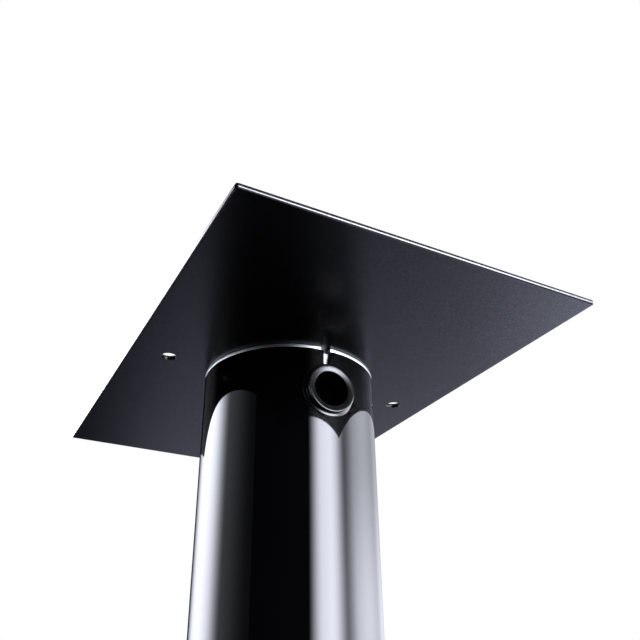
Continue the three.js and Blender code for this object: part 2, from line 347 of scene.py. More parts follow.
# %% The top plate
SCREW_REACH = 30 * MM * math.sqrt(0.5)
SCREW_PLACES = [(sx * SCREW_REACH, sy * SCREW_REACH) for sx, sy in ((1, 1), (-1, 1), (-1, -1), (1, -1))]
FIXING_HOLE_X, FIXING_HOLE_RADIUS = 75 * MM, 4.1 * MM
HOLE_BREAK, TOP_BREAK, PUNCH_TAPER = 0.12 * MM, 1.3 * MM, 0.4 * MM
PLATE_CORNER, PLATE_ROUNDS = 1.3 * MM, (0.9 * MM, 1.4 * MM)
TOP_SCREW = {"shank": 2.5 * MM, "head": 5 * MM, "flats": 3 * MM, "socket": 1.6 * MM}
SINK_GAP = 0.12 * MM

punched = through_hole(FIXING_HOLE_RADIUS, HOLE_BREAK, TOP_BREAK, UNDERSIDE, PLATE_HIGH.z, PUNCH_TAPER)
fixing_holes = [(side * FIXING_HOLE_X, 0, punched) for side in (-1, 1)]
top_sinks = [
    (x, y, sunk_hole(2.75 * MM, TOP_SCREW["head"] + SINK_GAP, UNDERSIDE, PLATE_HIGH.z))
    for x, y in SCREW_PLACES
]
top_plate = plate_piece(
    "top_plate_sheet", PLATE_LOW, PLATE_HIGH, PLATE_CORNER, PLATE_ROUNDS, fixing_holes + top_sinks
)
settle(top_plate, "root", "satin_black", "top_plate")

# %% The base plate
BASE_SCREW = {"shank": 3 * MM, "head": 6 * MM, "flats": 4 * MM, "socket": 2.4 * MM}
BASE_CORNER, BASE_ROUNDS = 6 * MM, (1.6 * MM, 1.6 * MM)
ROD_HOLE, STUD_HOLE = 5.3 * MM, 4.3 * MM
FOOT_PLACES = []
for number in range(1, 5):
    low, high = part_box(f"foot_pad_{number}")
    FOOT_PLACES.append(((low.x + high.x) / 2, (low.y + high.y) / 2))

base_holes = [(0, 0, through_hole(ROD_HOLE, HOLE_BREAK, HOLE_BREAK, BASE_LOW.z, BASE_HIGH.z))]
base_holes += [
    (x, y, through_hole(STUD_HOLE, HOLE_BREAK, HOLE_BREAK, BASE_LOW.z, BASE_HIGH.z)) for x, y in FOOT_PLACES
]
base_holes += [
    (x, y, sunk_hole(3.25 * MM, BASE_SCREW["head"] + SINK_GAP, BASE_HIGH.z, BASE_LOW.z))
    for x, y in SCREW_PLACES
]
base_plate = plate_piece("base_plate_slab", BASE_LOW, BASE_HIGH, BASE_CORNER, BASE_ROUNDS, base_holes)
settle(base_plate, "root", "satin_black", "base_plate")

# %% [markdown]
# ## The column
#
# The column is a plain tube until its keyhole: a slot, open at the tube's end, that runs down into a
# round hole. A high gloss surface shows every fault of its mesh, so the hole isn't cut with a boolean,
# which would leave thin triangles. The wall is a grid of heights and angles. Around each hole a square
# of cells is taken out, and rings that go from the square to the circle fill it. Both slot edges are
# grid lines of their own.

# %% Grid lines of the tube wall
OUTLET_RADIUS = 12.5 * MM
SLOT_HALF = 2.9 * MM
SQUARE_HALF = 16 * MM
SQUARE_STEPS = 10
ROUND_STEPS = 220
RING_STEPS = 5
upper_low, upper_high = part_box("upper_cable_grommet")
lower_low, lower_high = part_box("lower_cable_grommet")
UPPER_OUTLET = (upper_low.z + upper_high.z) / 2
LOWER_OUTLET = (lower_low.z + lower_high.z) / 2


def square_lines():
    """Offsets from a hole's centre to the grid lines of its square, with one at each slot edge."""
    outer = np.linspace(SLOT_HALF, SQUARE_HALF, SQUARE_STEPS)
    inner = np.linspace(-SLOT_HALF, SLOT_HALF, 4)[1:-1]
    return np.concatenate((-outer[::-1], inner, outer))


def column_lines():
    """Offsets across the front as distances, angles round the rest, and the heights of the rows."""
    across = square_lines()
    edge = math.asin(SQUARE_HALF / TUBE_RADIUS)
    around = np.linspace(edge, 2 * math.pi - edge, ROUND_STEPS)[1:-1]
    heights = np.concatenate((
        np.linspace(TUBE_LOW.z, LOWER_OUTLET - SQUARE_HALF, 3)[:-1], LOWER_OUTLET + across,
        np.linspace(LOWER_OUTLET + SQUARE_HALF, UPPER_OUTLET - SQUARE_HALF, 24)[1:-1],
        UPPER_OUTLET + across, [TUBE_HIGH.z],
    ))
    return across, around, heights


# %% The wall with its openings
def on_wall(radius, across, height):
    """A point of the front wall at a distance across it: the depth follows from the circle."""
    across, height = np.broadcast_arrays(across, height)
    return np.stack((across, -np.sqrt(radius**2 - across**2), height), -1)


def wall_grid(radius):
    """Points of the whole wall, by rows of equal height: the front first, and then the rest."""
    across, around, heights = column_lines()
    front = on_wall(radius, across[None], heights[:, None])
    edge_out, edge_here = math.asin(SQUARE_HALF / TUBE_RADIUS), math.asin(SQUARE_HALF / radius)
    share = (around - math.pi) / (math.pi - edge_out)
    angle = math.pi + share * (math.pi - edge_here)
    rest = np.stack(np.broadcast_arrays(
        radius * np.sin(angle)[None], -radius * np.cos(angle)[None], heights[:, None]
    ), -1)
    return np.concatenate((front, rest), 1)


def wall_faces():
    """Faces of the wall grid without the cells of the squares and of the slot."""
    across, around, heights = column_lines()
    columns = len(across) + len(around)
    faces = grid_faces(len(heights), columns).reshape(len(heights) - 1, columns, 4)
    middle = (heights[1:] + heights[:-1]) / 2
    front = np.arange(columns) < len(across) - 1
    cell_across = np.full(columns, np.inf)
    cell_across[front] = (across[1:] + across[:-1]) / 2
    in_square = (np.abs(middle[:, None] - UPPER_OUTLET) < SQUARE_HALF) | (
        np.abs(middle[:, None] - LOWER_OUTLET) < SQUARE_HALF
    )
    in_slot = (middle[:, None] > UPPER_OUTLET) & (np.abs(cell_across)[None] < SLOT_HALF)
    return faces[~((in_square & front[None]) | in_slot)]


def rings_round_hole(radius, centre, slotted):
    """Rings from a square to its hole. Each ray starts on a grid line and ends on the circle; beside a
    slot the rays stand upright, so that the slot's edge is straight."""
    line = square_lines()
    half = np.full(len(line) - 1, SQUARE_HALF)
    side_x = np.concatenate((line[:-1], half, -line[:-1], -half))
    side_z = np.concatenate((half, -line[:-1], -half, line[:-1]))
    turn = np.arctan2(side_x, side_z) % (2 * math.pi)
    order = np.argsort(turn)
    side_x, side_z, turn = side_x[order], side_z[order], turn[order]
    if slotted:
        keep = ~((side_z > SQUARE_HALF - MERGE) & (np.abs(side_x) < SLOT_HALF - MERGE))
        side_x, side_z, turn = side_x[keep], side_z[keep], turn[keep]
        start, end = turn[0], math.asin(SLOT_HALF / OUTLET_RADIUS)
        quarter = math.pi / 4
        turn = np.interp(turn, (start, quarter, 2 * math.pi - quarter, 2 * math.pi - start),
                         (end, quarter, 2 * math.pi - quarter, 2 * math.pi - end))
    t = np.linspace(0, 1, RING_STEPS)[:, None]
    x = (1 - t) * side_x + t * OUTLET_RADIUS * np.sin(turn)
    z = (1 - t) * side_z + t * OUTLET_RADIUS * np.cos(turn)
    points = on_wall(radius, x, centre + z)
    return points, grid_faces(*points.shape[:2], closed_columns=not slotted)


def wall_skin(radius):
    """All the points and faces of one skin of the wall. Both skins number theirs alike."""
    patches = [(wall_grid(radius), wall_faces())]
    patches.append(rings_round_hole(radius, UPPER_OUTLET, True))
    patches.append(rings_round_hole(radius, LOWER_OUTLET, False))
    starts = np.cumsum([0] + [p.reshape(-1, 3).shape[0] for p, _ in patches])
    points = np.concatenate([p.reshape(-1, 3) for p, _ in patches])
    return points, np.concatenate([f + s for (_, f), s in zip(patches, starts)])


# %% Make the column
def join_skins(outer, inner, faces):
    """Closes two skins with a wall along every edge that only one face has. Points that two patches
    share are given one number first, so that their common edge counts twice."""
    _, first, same = np.unique(np.round(outer / MERGE), axis=0, return_index=True, return_inverse=True)
    faces = first[same.ravel()][faces]
    count = len(outer)
    edges = np.stack((faces, np.roll(faces, -1, 1)), -1).reshape(-1, 2)
    key = np.sort(edges, 1) @ np.array((count, 1))
    _, place, uses = np.unique(key, return_index=True, return_counts=True)
    a, b = edges[place[uses == 1]].T
    sides = np.stack((b, a, a + count, b + count), -1)
    return np.concatenate((outer, inner)), np.concatenate((faces, faces[:, ::-1] + count, sides))


outer_skin, skin_faces = wall_skin(TUBE_RADIUS)
inner_skin, _ = wall_skin(TUBE_INSIDE)
column_points, column_faces = join_skins(outer_skin, inner_skin, skin_faces)
column = new_piece("lacquered_column", [(column_points, column_faces, np.zeros(1))])
softened = column.modifiers.new("softened_edges", "BEVEL")
softened.width, softened.segments, softened.limit_method = 0.35 * MM, 3, "ANGLE"
softened.angle_limit = math.radians(60)
softened.harden_normals = True
settle(column, "root", "gloss_black", "column_tube")

# %% [markdown]
# ## The plugs
#
# Each end of the tube is closed by a turned plug. Its flange is the bright ring between the tube and
# the plate. The upper flange is notched where the slot arrives. In the notch the radius of the flange
# is held back to the spigot's: two columns of points at the same angle, one at the full radius and one
# held back, make the notch's side walls.

# %% Make the plugs
PLUG_SIDES, NOTCH_STEPS = 240, 7
NOTCH_HALF, NOTCH_ASIDE = 3.0 * MM, -1.7 * MM
SPIGOT_RADIUS = TUBE_INSIDE - 0.3 * MM
PLUG_EDGE, FLANGE_ROUND, FLANGE_TAPER = 0.15 * MM, 0.5 * MM, 0.5 * MM
PILOT_TAPER, SPIGOT_TAPER = 1.0 * MM, 1.6 * MM


def plug_profile(flange_face, tube_end, spigot_end, hole):
    """Corners of a plug from its flange face, round the flange and the spigot, to its rod hole."""
    return [
        (hole, flange_face, 0), (TUBE_RADIUS, flange_face, FLANGE_ROUND),
        (TUBE_RADIUS - FLANGE_TAPER, tube_end, PLUG_EDGE), (SPIGOT_RADIUS, tube_end, 0),
        (SPIGOT_RADIUS - PILOT_TAPER, 0.67 * tube_end + 0.33 * spigot_end, 0),
        (SPIGOT_RADIUS - SPIGOT_TAPER, spigot_end, PLUG_EDGE), (hole, spigot_end, 0),
        (hole, flange_face, 0),
    ]


def plug_piece(name, corners, notch_half):
    """Carries the profile round, with the radius held back to the spigot's inside the notch."""
    profile, wear = rounded(corners)
    front = 1.5 * math.pi + NOTCH_ASIDE / TUBE_RADIUS
    half = notch_half / TUBE_RADIUS
    notch = np.linspace(front - half, front + half, NOTCH_STEPS if half else 0)
    rest = np.linspace(front + half, front - half + 2 * math.pi, PLUG_SIDES, endpoint=half > 0)
    angle = np.concatenate((notch, rest))[None]
    held = np.arange(angle.size)[None] < len(notch)
    radius = np.where(held, np.minimum(profile[:, :1], SPIGOT_RADIUS), profile[:, :1])
    points = revolve(radius, profile[:, 1:], angle)
    return new_piece(name, [(points, grid_faces(*points.shape[:2]), wear[:, None])])


TOP_PLUG_LOW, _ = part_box("top_plug")
_, BOTTOM_PLUG_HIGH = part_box("bottom_plug")
upper_profile = plug_profile(UNDERSIDE, TUBE_HIGH.z, TOP_PLUG_LOW.z, ROD_HOLE)
top_plug = plug_piece("top_plug_ring", upper_profile, NOTCH_HALF)
settle(top_plug, "root", "bright_aluminium", "top_plug")
lower_profile = plug_profile(BASE_HIGH.z, TUBE_LOW.z, BOTTOM_PLUG_HIGH.z, ROD_HOLE)
bottom_plug = plug_piece("bottom_plug_ring", lower_profile, 0)
settle(bottom_plug, "root", "bright_aluminium", "bottom_plug")

# %% [markdown]
# ## The grommets
#
# A grommet lies on a round column, but its lip is a flat ring. So its surface is a profile carried
# round the hole's axis, and each point says how much it follows the column: the saddles follow it
# fully, the lip not at all, and the throat between them blends.

# %% Make the grommets
GROMMET_SIDES = 96
SADDLE_GAP = 0.1 * MM


def grommet_profile():
    """Corners (radius, height over the wall, fillet, follow) from inside the tube out over the lip and
    back down the bore, in millimetres. Heights count from the wall. Follow is 1 on it and 0 on the lip."""
    inside = (-TUBE_WALL - SADDLE_GAP) / MM
    return [
        (9.7, inside - 1, 0, 1), (14.0, inside - 1, 0.4, 1), (14.0, inside, 0.2, 1), (12.3, inside, 0, 1),
        (12.3, 0.1, 0, 1), (15.2, 0.1, 0.15, 1), (15.2, 0.7, 0.25, 1), (13.8, 0.8, 0.15, 0.9),
        (13.8, 1.5, 0, 0.4), (13.8, 2.1, 0, 0), (13.8, 3.3, 0.8, 0), (12.5, 3.2, 0, 0),
        (10.0, 2.5, 0.4, 0), (9.7, 1.7, 0, 0), (9.7, 0.6, 0, 0.3), (9.7, inside - 1, 0, 1),
    ]


def grommet_piece(name, centre):
    """The profile carried round the hole's axis, which points along -Y."""
    corners = np.array(grommet_profile())
    corners[:, :3] *= MM
    profile, wear = rounded(corners[:, :3])
    follow = follow_of(profile, corners)
    angle = round_angles(GROMMET_SIDES)[None]
    x = profile[:, :1] * np.sin(angle)
    z = profile[:, :1] * np.cos(angle)
    wall = np.sqrt(TUBE_RADIUS**2 - x**2)
    base = follow[:, None] * wall + (1 - follow[:, None]) * TUBE_RADIUS
    points = np.stack((x, -(base + profile[:, 1:]), centre + z), -1)
    return new_piece(name, [(points, grid_faces(*points.shape[:2]), wear[:, None])])


def follow_of(profile, corners):
    """How much each profile point follows the wall, from the nearest corner of the outline."""
    distance = np.linalg.norm(profile[:, None] - corners[None, :, :2], axis=-1)
    return corners[np.argmin(distance, 1), 3]


for place, centre in (("upper", UPPER_OUTLET), ("lower", LOWER_OUTLET)):
    grommet = grommet_piece(f"{place}_grommet", centre)
    settle(grommet, "root", "black_rubber", f"{place}_cable_grommet")

# %% [markdown]
# ## Screws, rod and nut
#
# A countersunk screw is a cone with a hexagon socket. The socket is the same turned surface, with the
# radius of a hexagon in place of a circle. The tie rod shows only below its nut, so its thread is made
# there, and the rest of it is plain.

# %% Countersunk screws
SCREW_SIDES = 48
SCREW_EDGE = 0.2 * MM


def screw_piece(name, x, y, face, toward, length, size):
    """A screw whose flat face is at a height and looks toward +Z or -Z."""
    shank, head, flats, socket = (size[key] for key in ("shank", "head", "flats", "socket"))
    below = lambda depth: face - toward * depth
    corners = [
        (0, below(length), 0), (shank, below(length), 0.3 * MM), (shank, below(head - shank), 0),
        (head, below(0.15 * MM), 0), (head, face, 0), (flats * 0.66, face, SCREW_EDGE),
        (flats / 2, below(0.3 * MM), 0), (flats / 2, below(socket), 0), (0, below(socket * 1.25), 0),
    ]

    def shape(radius, height, angle):
        in_socket = (radius < flats * 0.51) & ((height - below(socket * 1.3)) * toward > 0)
        return np.where(in_socket, radius / (flats / 2) * hexagon(flats, angle), radius)

    return new_piece(name, [turned_patch(corners, SCREW_SIDES, shape, 3)], (x, y, 0))


for number, (x, y) in enumerate(SCREW_PLACES, 1):
    low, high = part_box(f"top_plate_screw_{number}")
    screw = screw_piece(f"plate_screw_{number}", x, y, PLATE_HIGH.z, 1, high.z - low.z, TOP_SCREW)
    settle(screw, "root", "black_screw", f"top_plate_screw_{number}")
    low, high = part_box(f"base_plate_screw_{number}")
    screw = screw_piece(f"base_screw_{number}", x, y, BASE_LOW.z, -1, high.z - low.z, BASE_SCREW)
    settle(screw, "root", "black_screw", f"base_plate_screw_{number}")

# %% Tie rod, washer and nut
ROD_RADIUS, ROD_PITCH, ROD_THREAD = 5 * MM, 1.5 * MM, 0.8 * MM
ROD_LOW, ROD_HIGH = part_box("tie_rod")
WASHER_LOW, WASHER_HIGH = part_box("tie_rod_washer")
NUT_LOW, NUT_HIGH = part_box("tie_rod_nut")
THREAD_ROWS_PER_TURN = 10


def thread_heights(low, high, pitch):
    """Heights close enough together to draw the thread's ridge."""
    return np.linspace(low, high, int((high - low) / pitch * THREAD_ROWS_PER_TURN))


def rod_piece():
    """A rod whose lower end is threaded. The thread fades in over the first turn from the end."""
    thread_top = NUT_LOW.z + ROD_PITCH
    climbing = thread_heights(ROD_LOW.z + 0.4 * MM, thread_top, ROD_PITCH)
    heights = np.concatenate((climbing, [ROD_HIGH.z]))[:, None]
    angle = round_angles(36)[None]
    radius = threaded(ROD_RADIUS, ROD_THREAD, ROD_PITCH, heights, angle)
    radius[-1] = ROD_RADIUS
    points = revolve(radius, heights, angle)
    low_end = revolve(np.array(((0,), (ROD_RADIUS * 0.8,))), ROD_LOW.z, angle)
    high_end = revolve(np.zeros((1, 1)), ROD_HIGH.z, angle)
    points = np.concatenate((low_end, points, high_end))
    return new_piece("tie_rod_bar", [(points, grid_faces(*points.shape[:2]), np.zeros(1))])


def nut_shape(flats, chamfer_low, chamfer_high, bore):
    """A hexagon cut back to a cone at both ends, because a nut's corners are turned off."""
    def shape(radius, height, angle):
        cone = flats / 2 + 1.6 * np.minimum(height - chamfer_low, chamfer_high - height) + 0.1 * MM
        return np.where(radius > bore * 1.2, np.minimum(hexagon(flats, angle), cone), radius)
    return shape


settle(rod_piece(), "root", "zinc_steel", "tie_rod")
WASHER_RADIUS = 11 * MM
washer_corners = [
    (ROD_HOLE, WASHER_LOW.z, 0), (WASHER_RADIUS, WASHER_LOW.z, 0.5 * MM),
    (WASHER_RADIUS, WASHER_HIGH.z, 0.2 * MM), (ROD_HOLE, WASHER_HIGH.z, 0), (ROD_HOLE, WASHER_LOW.z, 0),
]
washer = new_piece("tie_washer", [turned_patch(washer_corners, 72)])
settle(washer, "root", "zinc_steel", "tie_rod_washer")
NUT_FLATS = 17 * MM
nut_rows = np.linspace(NUT_LOW.z, NUT_HIGH.z, 24)
nut_corners = [(ROD_HOLE, NUT_LOW.z, 0)] + [(9 * MM, z, 0) for z in nut_rows] + [
    (ROD_HOLE, NUT_HIGH.z, 0), (ROD_HOLE, NUT_LOW.z, 0)
]
nut = new_piece("tie_nut", [
    turned_patch(nut_corners, 96, nut_shape(NUT_FLATS, NUT_LOW.z, NUT_HIGH.z, ROD_HOLE))
])
settle(nut, "root", "zinc_steel", "tie_rod_nut")

# %% [markdown]
# ## The levelling feet
#
# A foot is a threaded stud that turns in a round pad. The pad slides up and down with it and stays
# square to the floor, on a felt sole. A grooved nut on top of the plate locks it. Each piece rides on
# the body that moves it: the stud turns, the pad and its sole only slide, the lock nut stays.

# %% Studs
STUD_RADIUS, STUD_PITCH, STUD_THREAD = 3.95 * MM, 1.25 * MM, 0.6 * MM
STUD_FLATS, STUD_SOCKET = 4 * MM, 4 * MM


def stud_piece(name, x, y, low, high):
    """Foot, neck and shoulder are turned; above the shoulder the thread climbs to the socketed end."""
    shoulder_low, shoulder_high = 8.5 * MM, 11 * MM
    lower = rounded([
        (0, low, 0), (5.2 * MM, low, 0.4 * MM), (5.2 * MM, 6 * MM, 0), (3.1 * MM, 6 * MM, 0),
        (3.1 * MM, shoulder_low, 0), (6.5 * MM, shoulder_low, 0.4 * MM),
        (6.5 * MM, shoulder_high, 0.4 * MM), (STUD_RADIUS, shoulder_high, 0),
    ])[0]
    angle = round_angles(36)[None]
    foot = revolve(lower[:, :1], lower[:, 1:], angle)
    heights = thread_heights(shoulder_high + 0.2 * MM, high - 0.6 * MM, STUD_PITCH)[:, None]
    thread = revolve(threaded(STUD_RADIUS, STUD_THREAD, STUD_PITCH, heights, angle), heights, angle)
    rim = revolve(np.array(((3.3 * MM,), (2.6 * MM,))), high, angle)
    walls = np.array(((high - 0.2 * MM,), (high - STUD_SOCKET,)))
    socket = revolve(hexagon(STUD_FLATS, angle), walls, angle)
    floor = revolve(np.zeros((1, 1)), high - STUD_SOCKET, angle)
    points = np.concatenate((foot, thread, rim, socket, floor))
    return new_piece(name, [(points, grid_faces(*points.shape[:2]), np.zeros(1))], (x, y, 0))


# %% Pads, soles and lock nuts
def pad_piece(name, x, y, low, high):
    """A turned pad: a flat base, a rounded rim, a gentle slope and a cup for the stud's foot."""
    radius = 18 * MM
    corners = [
        (0, low, 0), (radius - 0.6 * MM, low, 0.4 * MM), (radius, low + 1 * MM, 0.5 * MM),
        (radius, low + 3 * MM, 0.8 * MM), (radius - 4 * MM, high - 1.2 * MM, 2 * MM),
        (8.2 * MM, high, 0.6 * MM), (3.6 * MM, high, 0.3 * MM), (3.6 * MM, high - 1.6 * MM, 0),
        (5.5 * MM, high - 1.6 * MM, 0), (5.5 * MM, 3.5 * MM, 0), (0, 3.5 * MM, 0),
    ]
    return new_piece(name, [turned_patch(corners, 96)], (x, y, 0))


def sole_piece(name, x, y, low, high):
    """A felt disc whose edge is soft and a little uneven, because felt is cut, not turned."""
    radius = 16.5 * MM
    corners = [(0, low, 0), (radius, low, 0.5 * MM), (radius, high, 0.3 * MM), (0, high, 0)]

    def shape(r, height, angle):
        ripple = np.sin(23 * angle) + 0.6 * np.sin(41 * angle + 1.3) - 1.6
        return r + np.where(r > radius * 0.9, 0.05 * MM * ripple, 0)

    return new_piece(name, [turned_patch(corners, 120, shape)], (x, y, 0))


def lock_nut_piece(name, x, y, low, high):
    """A thumb nut: a chamfered disc with round grooves in its rim."""
    radius, bore = 9 * MM, 4.2 * MM
    rows = np.linspace(low + 0.7 * MM, high - 0.7 * MM, 8)
    corners = [(bore, low, 0), (radius - 0.8 * MM, low, 0)] + [(radius, z, 0) for z in rows] + [
        (radius - 0.8 * MM, high, 0.2 * MM), (bore + 0.8 * MM, high, 0), (bore, high - 0.6 * MM, 0),
        (bore, low, 0),
    ]

    def shape(r, height, angle):
        return np.where(r > radius * 0.98, grooved(r, 0.6 * MM, 18, angle), r)

    return new_piece(name, [turned_patch(corners, 216, shape)], (x, y, 0))


# %% Make the four feet
FOOT_PARTS = (
    ("stud", stud_piece, "foot_stud_{}", "zinc_steel"), ("pad", pad_piece, "foot_pad_{}", "black_steel"),
    ("sole", sole_piece, "foot_pad_{}", "felt"), ("lock_nut", lock_nut_piece, "root", "black_steel"),
)
for number, (x, y) in enumerate(FOOT_PLACES, 1):
    for part, make, body, slot in FOOT_PARTS:
        low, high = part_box(f"foot_{part}_{number}")
        piece = make(f"levelling_{part}_{number}", x, y, low.z, high.z)
        settle(piece, body.format(number), slot, f"foot_{part}_{number}")

# %% [markdown]
# ## Writing materials as expressions
#
# A material is a graph of nodes. Written node by node it is long and hard to read, so a small class
# wraps a socket: arithmetic on it adds the Math nodes. One method makes every other kind of node.

# %% Socket arithmetic
class Wave:
    """A number that changes over the surface. An expression on it adds its Math nodes."""

    def __init__(self, tree, socket):
        self.tree, self.socket = tree, socket

    def math(self, operation, *terms):
        node = self.tree.nodes.new("ShaderNodeMath")
        node.operation = operation
        for slot, term in zip(node.inputs, terms):
            plug_in(self.tree, slot, term)
        return Wave(self.tree, node.outputs[0])

    def __add__(self, other): return self.math("ADD", self, other)
    def __radd__(self, other): return self.math("ADD", other, self)
    def __sub__(self, other): return self.math("SUBTRACT", self, other)
    def __mul__(self, other): return self.math("MULTIPLY", self, other)
    def __rmul__(self, other): return self.math("MULTIPLY", other, self)


def plug_in(tree, slot, term):
    """Links a socket to an input, or sets the input to a plain value."""
    if isinstance(term, Wave):
        tree.links.new(term.socket, slot)
    else:
        slot.default_value = term


# %% Nodes and noises
class Graph:
    """The node tree of a material or of the world."""

    def __init__(self, tree):
        self.tree = tree
        tree.nodes.clear()

    def node(self, kind, settings=None, inputs=None, output=0):
        """Makes a node: its settings first, then the values or links of its sockets."""
        node = self.tree.nodes.new(kind)
        for name, value in (settings or {}).items():
            setattr(node, name, value)
        for name, value in (inputs or {}).items():
            plug_in(self.tree, node.inputs[name], value)
        return Wave(self.tree, node.outputs[output]) if node.outputs else None

    def place(self, scale=(1, 1, 1)):
        """The place on the object, in metres, times a scale for each axis."""
        spot = self.node("ShaderNodeTexCoord", output="Object")
        return self.node("ShaderNodeMapping", None, {"Vector": spot, "Scale": scale})

    def noise(self, size, detail=3.0, stretch=(1, 1, 1), roughness=0.55):
        """Noise between 0 and 1 whose spots are about a size across."""
        return self.node(
            "ShaderNodeTexNoise", {"noise_dimensions": "3D"},
            {"Vector": self.place(stretch), "Scale": 1 / size, "Detail": detail, "Roughness": roughness},
        )

    def fit(self, value, low, high, to_low=0.0, to_high=1.0, smooth=False):
        """Maps a range to another and stops at its ends."""
        kind = "SMOOTHSTEP" if smooth else "LINEAR"
        return self.node(
            "ShaderNodeMapRange", {"interpolation_type": kind, "clamp": True},
            {"Value": value, "From Min": low, "From Max": high, "To Min": to_low, "To Max": to_high},
        )

    def blend(self, share, first, second):
        """Mixes two colours by a share."""
        settings = {"data_type": "RGBA", "blend_type": "MIX"}
        return self.node("ShaderNodeMix", settings, {0: share, 6: first, 7: second}, output=2)

    def bump(self, height, distance, strength=1.0):
        """A normal from a height between 0 and 1 that stands for a distance in metres."""
        inputs = {"Height": height, "Distance": distance, "Strength": strength}
        return self.node("ShaderNodeBump", None, inputs)

    def worn(self):
        """1 on the rounded edges of a piece and 0 on its faces."""
        return self.node("ShaderNodeAttribute", {"attribute_name": WEAR}, output="Fac")


def material_of(name, surface):
    """A material from a function that builds a shader in a graph and returns its socket."""
    material = bpy.data.materials.new(name)
    material.use_nodes = True
    graph = Graph(material.node_tree)
    graph.node("ShaderNodeOutputMaterial", None, {"Surface": surface(graph)})
    print("material:", name)
    return material


def principled(name, build):
    """A material whose build function returns the inputs of its Principled shader."""
    return material_of(name, lambda graph: graph.node("ShaderNodeBsdfPrincipled", None, build(graph)))


# %% [markdown]
# ## Satin black powder coat
#
# Powder melts into a skin that is smooth to the hand but not flat: fine grains under half a millimetre
# wide soften what it mirrors, and the resin lies thicker over some than over others. A clear coat of
# uneven weight stands for the resin. On the edges the film is thinner and a little glossier.

# %% Powder coat
def powder_coat(graph):
    grain = graph.noise(0.45 * MM, 4)
    flow = graph.noise(9 * MM, 2)
    film = graph.fit(graph.noise(60 * MM, 2), 0.3, 0.7)
    colour = graph.blend(film, (0.0020, 0.0020, 0.0026, 1), (0.0034, 0.0034, 0.0042, 1))
    rough = 0.26 + 0.05 * (grain - 0.5) + 0.03 * (flow - 0.5) - 0.09 * graph.worn()
    speckle = graph.fit(graph.noise(0.9 * MM, 3, roughness=0.8), 0.40, 0.60)
    return {
        "Base Color": colour, "Roughness": rough, "IOR": 1.4, "Coat Weight": 0.22 + 0.5 * speckle,
        "Coat Roughness": 0.26, "Normal": graph.bump(grain + 0.4 * flow, 0.003 * MM, 0.6),
    }


satin_black = principled("satin_black_powder_coat", powder_coat)

# %% [markdown]
# ## Piano lacquer
#
# Several coats are sprayed, sanded flat and polished. What is left of the spraying is a wave so shallow
# that only the edge of a bright reflection shows it. Polishing leaves the finest hairlines.

# %% Lacquer
def lacquer(graph):
    peel = graph.noise(14 * MM, 1)
    hairline = graph.noise(0.5 * MM, 2, (1, 1, 0.15))
    depth = graph.fit(graph.noise(80 * MM, 1), 0.3, 0.7)
    colour = graph.blend(depth, (0.0008, 0.0008, 0.0010, 1), (0.0014, 0.0014, 0.0017, 1))
    rough = 0.030 + 0.012 * hairline + 0.03 * graph.worn()
    return {
        "Base Color": colour, "Roughness": rough, "IOR": 1.5,
        "Normal": graph.bump(peel, 0.02 * MM, 0.5),
    }


gloss_black = principled("black_piano_lacquer", lacquer)

# %% [markdown]
# ## Metals, rubber and felt
#
# The plugs are turned, so a tool has left fine rings round them. Zinc plate is duller and a little
# mottled. Black steel shows bare metal where its edges rub. Rubber is softly mottled, and felt is a
# mat of fibres that scatters light from its nap.

# %% Turned aluminium
def turned_aluminium(graph):
    rings = graph.noise(0.15 * MM, 2, (0.02, 0.02, 1))
    cloud = graph.noise(6 * MM, 2)
    colour = graph.blend(cloud, (0.78, 0.79, 0.80, 1), (0.90, 0.91, 0.92, 1))
    return {
        "Base Color": colour, "Metallic": 1.0, "Roughness": 0.38 + 0.08 * rings + 0.06 * cloud,
        "Normal": graph.bump(rings, 0.02 * MM, 0.8),
    }


bright_aluminium = principled("turned_aluminium", turned_aluminium)


# %% Zinc plate and black steel
def zinc_plate(graph):
    mottle = graph.noise(2.5 * MM, 3)
    fine = graph.noise(0.25 * MM, 2)
    colour = graph.blend(mottle, (0.50, 0.51, 0.53, 1), (0.66, 0.66, 0.65, 1))
    return {
        "Base Color": colour, "Metallic": 1.0, "Roughness": 0.24 + 0.14 * mottle + 0.05 * fine,
        "Normal": graph.bump(fine, 0.003 * MM, 0.6),
    }


def black_steel(graph):
    scuff = graph.noise(0.7 * MM, 4)
    bare = graph.fit(scuff * graph.worn(), 0.63, 0.78)
    fine = graph.noise(0.2 * MM, 2, (1, 1, 3))
    colour = graph.blend(bare, (0.014, 0.014, 0.015, 1), (0.24, 0.24, 0.24, 1))
    return {
        "Base Color": colour, "Metallic": 0.3 + 0.6 * bare, "Roughness": 0.34 + 0.10 * scuff - 0.08 * bare,
        "Normal": graph.bump(fine, 0.004 * MM, 0.6),
    }


zinc_steel = principled("zinc_plate", zinc_plate)
black_turned_steel = principled("black_turned_steel", black_steel)


# %% Rubber and felt
def grommet_rubber(graph):
    skin = graph.noise(0.35 * MM, 3)
    mottle = graph.noise(5 * MM, 2)
    colour = graph.blend(mottle, (0.006, 0.006, 0.0065, 1), (0.012, 0.012, 0.013, 1))
    return {
        "Base Color": colour, "Roughness": 0.13 + 0.06 * skin + 0.05 * mottle, "IOR": 1.52,
        "Normal": graph.bump(skin, 0.003 * MM, 0.6),
    }


def pressed_felt(graph):
    fibres = graph.noise(0.25 * MM, 5, (1, 1, 2.5), 0.7)
    patches = graph.noise(3 * MM, 2)
    colour = graph.blend(fibres, (0.020, 0.020, 0.022, 1), (0.075, 0.075, 0.080, 1))
    return {
        "Base Color": colour, "Roughness": 0.9 + 0.08 * patches, "Sheen Weight": 0.35,
        "Normal": graph.bump(fibres, 0.12 * MM, 0.9),
    }


black_rubber = principled("grommet_rubber", grommet_rubber)
felt = principled("pressed_felt", pressed_felt)

